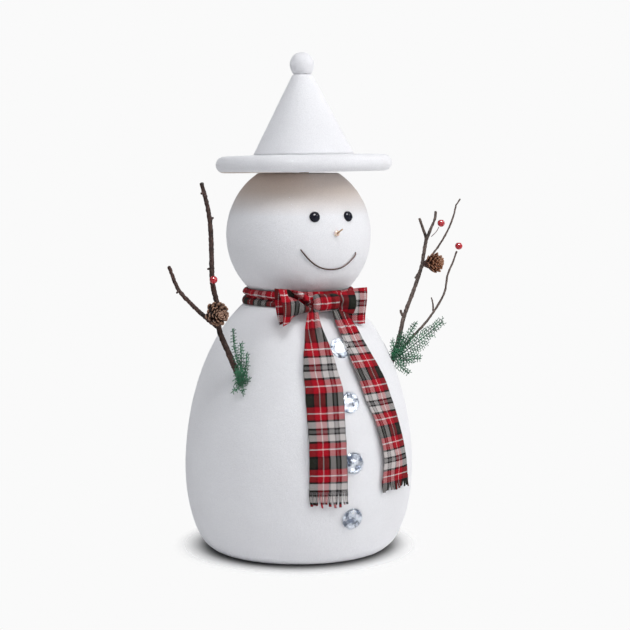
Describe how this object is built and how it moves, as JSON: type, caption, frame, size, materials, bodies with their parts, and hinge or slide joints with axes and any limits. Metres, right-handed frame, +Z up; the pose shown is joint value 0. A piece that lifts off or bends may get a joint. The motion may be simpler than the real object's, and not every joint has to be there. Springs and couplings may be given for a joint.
{
  "type": "snowman figure",
  "caption": "Free-standing flocked foam snowman with a pointed hat, tartan scarf and bow, crystal buttons and forked twig arms with cones, berries and cedar.",
  "frame": {"origin": "centre of the round flat face the snowman stands on", "axes": "+Z up through body, head and hat; the face and buttons look along -Y; +X is the snowman's left-hand side"},
  "size_m": [0.3316, 0.2395, 0.5007],
  "materials": {
    "flocked_foam": "matte",
    "pale_wood": "matte",
    "amber_glue": "gloss",
    "black_bead": "gloss",
    "brown_wire": "satin",
    "tartan_cloth": "matte",
    "crystal": "polished",
    "bark": "matte",
    "cone_brown": "matte",
    "berry_red": "gloss",
    "cedar_green": "matte"
  },
  "bodies": {
    "figure": {"body_foam": "flocked_foam", "head_foam": "flocked_foam", "neck_dowel": "pale_wood", "eye_right": "black_bead", "eye_left": "black_bead", "nose_peg": "pale_wood", "nose_glue": "amber_glue", "mouth_wire": "brown_wire", "scarf_neck_band": "tartan_cloth", "bow_knot": "tartan_cloth", "bow_loop_right": "tartan_cloth", "bow_loop_left": "tartan_cloth", "button_1": "crystal", "button_2": "crystal", "button_3": "crystal", "button_4": "crystal"},
    "hat_peg": {"hat_dowel": "pale_wood"},
    "hat": {"hat_brim": "flocked_foam", "hat_cone": "flocked_foam", "hat_ball": "flocked_foam", "hat_ball_pin": "pale_wood"},
    "arm_right": {"twig_right": "bark", "pinecone_right": "cone_brown", "berry_right": "berry_red", "cedar_sprig_right": "cedar_green"},
    "arm_left": {"twig_left": "bark", "twig_left_tall": "bark", "twig_left_low": "bark", "pinecone_left": "cone_brown", "berry_left_upper": "berry_red", "berry_left_low": "berry_red", "berry_left_wire": "brown_wire", "cedar_sprig_left": "cedar_green"},
    "tail_right": {"scarf_tail_right": "tartan_cloth"},
    "tail_left": {"scarf_tail_left": "tartan_cloth"}
  },
  "joints": [
    {"name": "hat_lift", "type": "slide", "parent": "figure", "child": "hat_peg", "axis": [-0.0154, 0.0082, 0.9998], "range_m": [0, 0.06]},
    {"name": "hat_turn", "type": "hinge", "parent": "hat_peg", "child": "hat", "pos_m": [0.0049, -0.0026, 0.381], "axis": [-0.0154, 0.0082, 0.9998], "continuous": true},
    {"name": "arm_right_turn", "type": "hinge", "parent": "figure", "child": "arm_right", "pos_m": [-0.088, -0.046, 0.179], "axis": [-0.41, 0, 0.9121], "range_deg": [-30, 30]},
    {"name": "arm_left_turn", "type": "hinge", "parent": "figure", "child": "arm_left", "pos_m": [0.0826, -0.0479, 0.188], "axis": [0.3, 0, 0.9539], "range_deg": [-30, 30]},
    {"name": "tail_right_swing", "type": "hinge", "parent": "figure", "child": "tail_right", "pos_m": [-0.0198, -0.0648, 0.2452], "axis": [-0.9563, 0.2924, 0], "range_deg": [0, 35]},
    {"name": "tail_left_swing", "type": "hinge", "parent": "figure", "child": "tail_left", "pos_m": [0.0095, -0.0678, 0.2442], "axis": [-0.9903, -0.1392, 0], "range_deg": [0, 35]}
  ]
}
